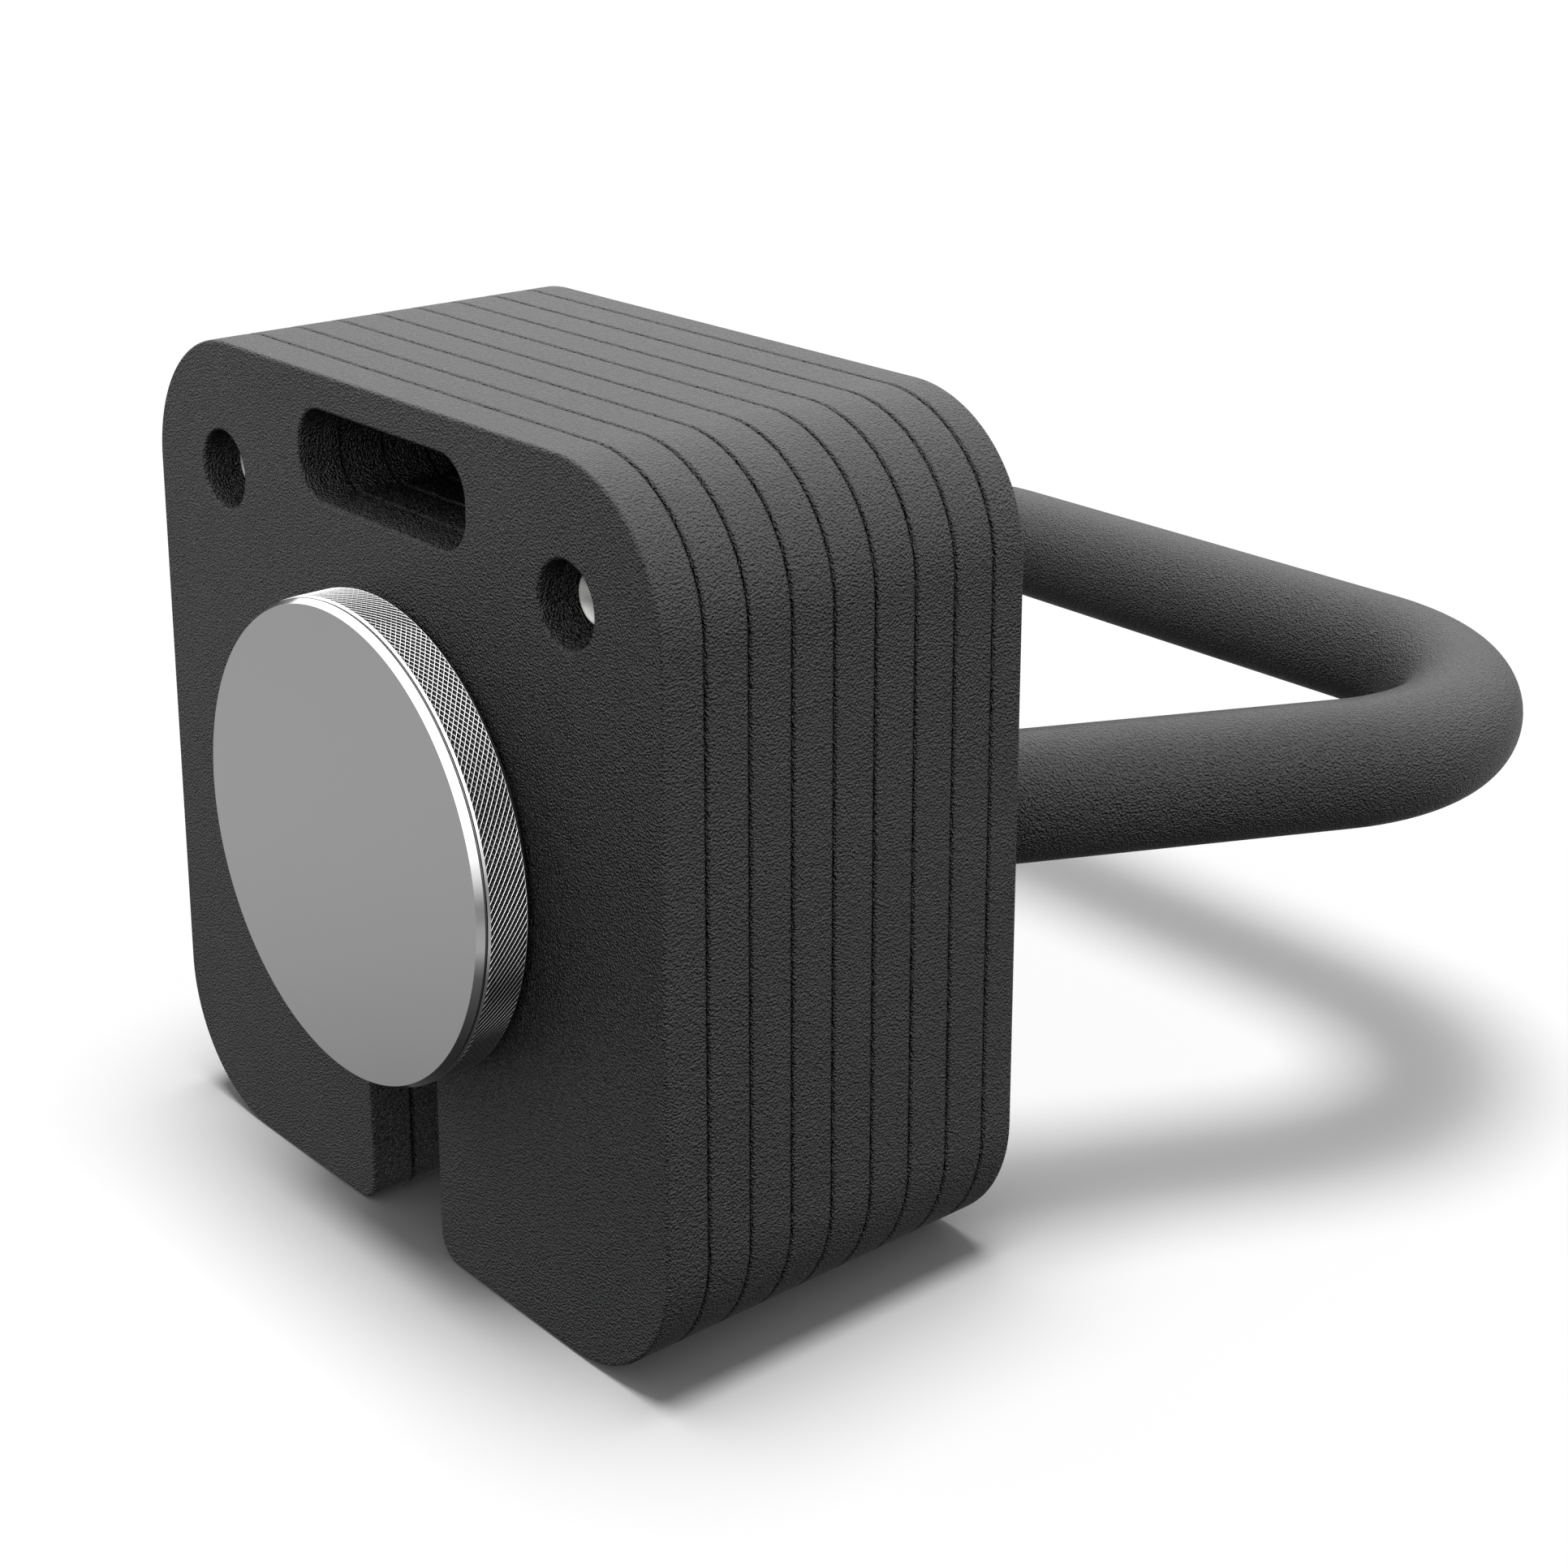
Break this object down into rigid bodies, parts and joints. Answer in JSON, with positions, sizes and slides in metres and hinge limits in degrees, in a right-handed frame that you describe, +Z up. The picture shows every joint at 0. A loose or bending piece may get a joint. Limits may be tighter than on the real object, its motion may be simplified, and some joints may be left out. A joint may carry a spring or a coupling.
{
  "type": "adjustable kettlebell",
  "caption": "Adjustable kettlebell: slotted steel plates clamped between a looped bar handle and a knurled chrome knob on a central screw.",
  "frame": {"origin": "on the ground under the middle of the overall length, with the plates standing on their lower edges", "axes": "+X across the plates, +Y along the clamping screw from the knob towards the handle's grip, +Z up"},
  "size_m": [0.2424, 0.2698, 0.183],
  "materials": {
    "powder_coat": "fine orange-peel textured black powder coat",
    "chrome": "polished chrome plate",
    "bright_steel": "turned bright steel",
    "zinc_steel": "zinc plated steel",
    "black_polymer": "matte black friction washer"
  },
  "bodies": {
    "frame": {"base_plate": "powder_coat", "handle": "powder_coat", "handle_weld_left": "powder_coat", "handle_weld_right": "powder_coat", "guide_pin_left": "bright_steel", "guide_pin_right": "bright_steel", "pin_screw_left": "zinc_steel", "pin_screw_right": "zinc_steel", "spindle_nut": "zinc_steel", "nut_weld": "powder_coat"},
    "thrust_washer": {"thrust_washer": "black_polymer"},
    "knob": {"knob_body": "chrome", "knob_cap": "chrome", "knob_bolt": "zinc_steel", "spindle": "bright_steel"},
    "plate_1": {"plate_1": "powder_coat", "hole_plug_left": "bright_steel", "hole_plug_right": "bright_steel"},
    "plate_2": {"plate_2": "powder_coat"},
    "plate_3": {"plate_3": "powder_coat"},
    "plate_4": {"plate_4": "powder_coat"},
    "plate_5": {"plate_5": "powder_coat"},
    "plate_6": {"plate_6": "powder_coat"},
    "plate_7": {"plate_7": "powder_coat"},
    "plate_8": {"plate_8": "powder_coat"}
  },
  "joints": [
    {"name": "washer_slide", "type": "slide", "parent": "frame", "child": "thrust_washer", "axis": [0, -1, 0], "range_m": [0, 0.015]},
    {"name": "knob_turn", "type": "hinge", "parent": "thrust_washer", "child": "knob", "pos_m": [0, -0.13, 0.0915], "axis": [0, -1, 0], "range_deg": [0, 1800]},
    {"name": "plate_1_lift", "type": "slide", "parent": "thrust_washer", "child": "plate_1", "axis": [0, 0, 1], "range_m": [0, 0.11]},
    {"name": "plate_2_slide", "type": "slide", "parent": "frame", "child": "plate_2", "axis": [0, -1, 0], "range_m": [0, 0.01312]},
    {"name": "plate_3_slide", "type": "slide", "parent": "frame", "child": "plate_3", "axis": [0, -1, 0], "range_m": [0, 0.01125]},
    {"name": "plate_4_slide", "type": "slide", "parent": "frame", "child": "plate_4", "axis": [0, -1, 0], "range_m": [0, 0.00937]},
    {"name": "plate_5_slide", "type": "slide", "parent": "frame", "child": "plate_5", "axis": [0, -1, 0], "range_m": [0, 0.0075]},
    {"name": "plate_6_slide", "type": "slide", "parent": "frame", "child": "plate_6", "axis": [0, -1, 0], "range_m": [0, 0.00562]},
    {"name": "plate_7_slide", "type": "slide", "parent": "frame", "child": "plate_7", "axis": [0, -1, 0], "range_m": [0, 0.00375]},
    {"name": "plate_8_slide", "type": "slide", "parent": "frame", "child": "plate_8", "axis": [0, -1, 0], "range_m": [0, 0.00187]}
  ],
  "couplings": [
    {"joint": "washer_slide", "follows": "knob_turn", "m_per_rad": 0.0004774},
    {"joint": "plate_2_slide", "follows": "knob_turn", "m_per_rad": 0.00041768},
    {"joint": "plate_3_slide", "follows": "knob_turn", "m_per_rad": 0.00035801},
    {"joint": "plate_4_slide", "follows": "knob_turn", "m_per_rad": 0.00029834},
    {"joint": "plate_5_slide", "follows": "knob_turn", "m_per_rad": 0.00023868},
    {"joint": "plate_6_slide", "follows": "knob_turn", "m_per_rad": 0.00017901},
    {"joint": "plate_7_slide", "follows": "knob_turn", "m_per_rad": 0.00011934},
    {"joint": "plate_8_slide", "follows": "knob_turn", "m_per_rad": 0.000059669}
  ]
}
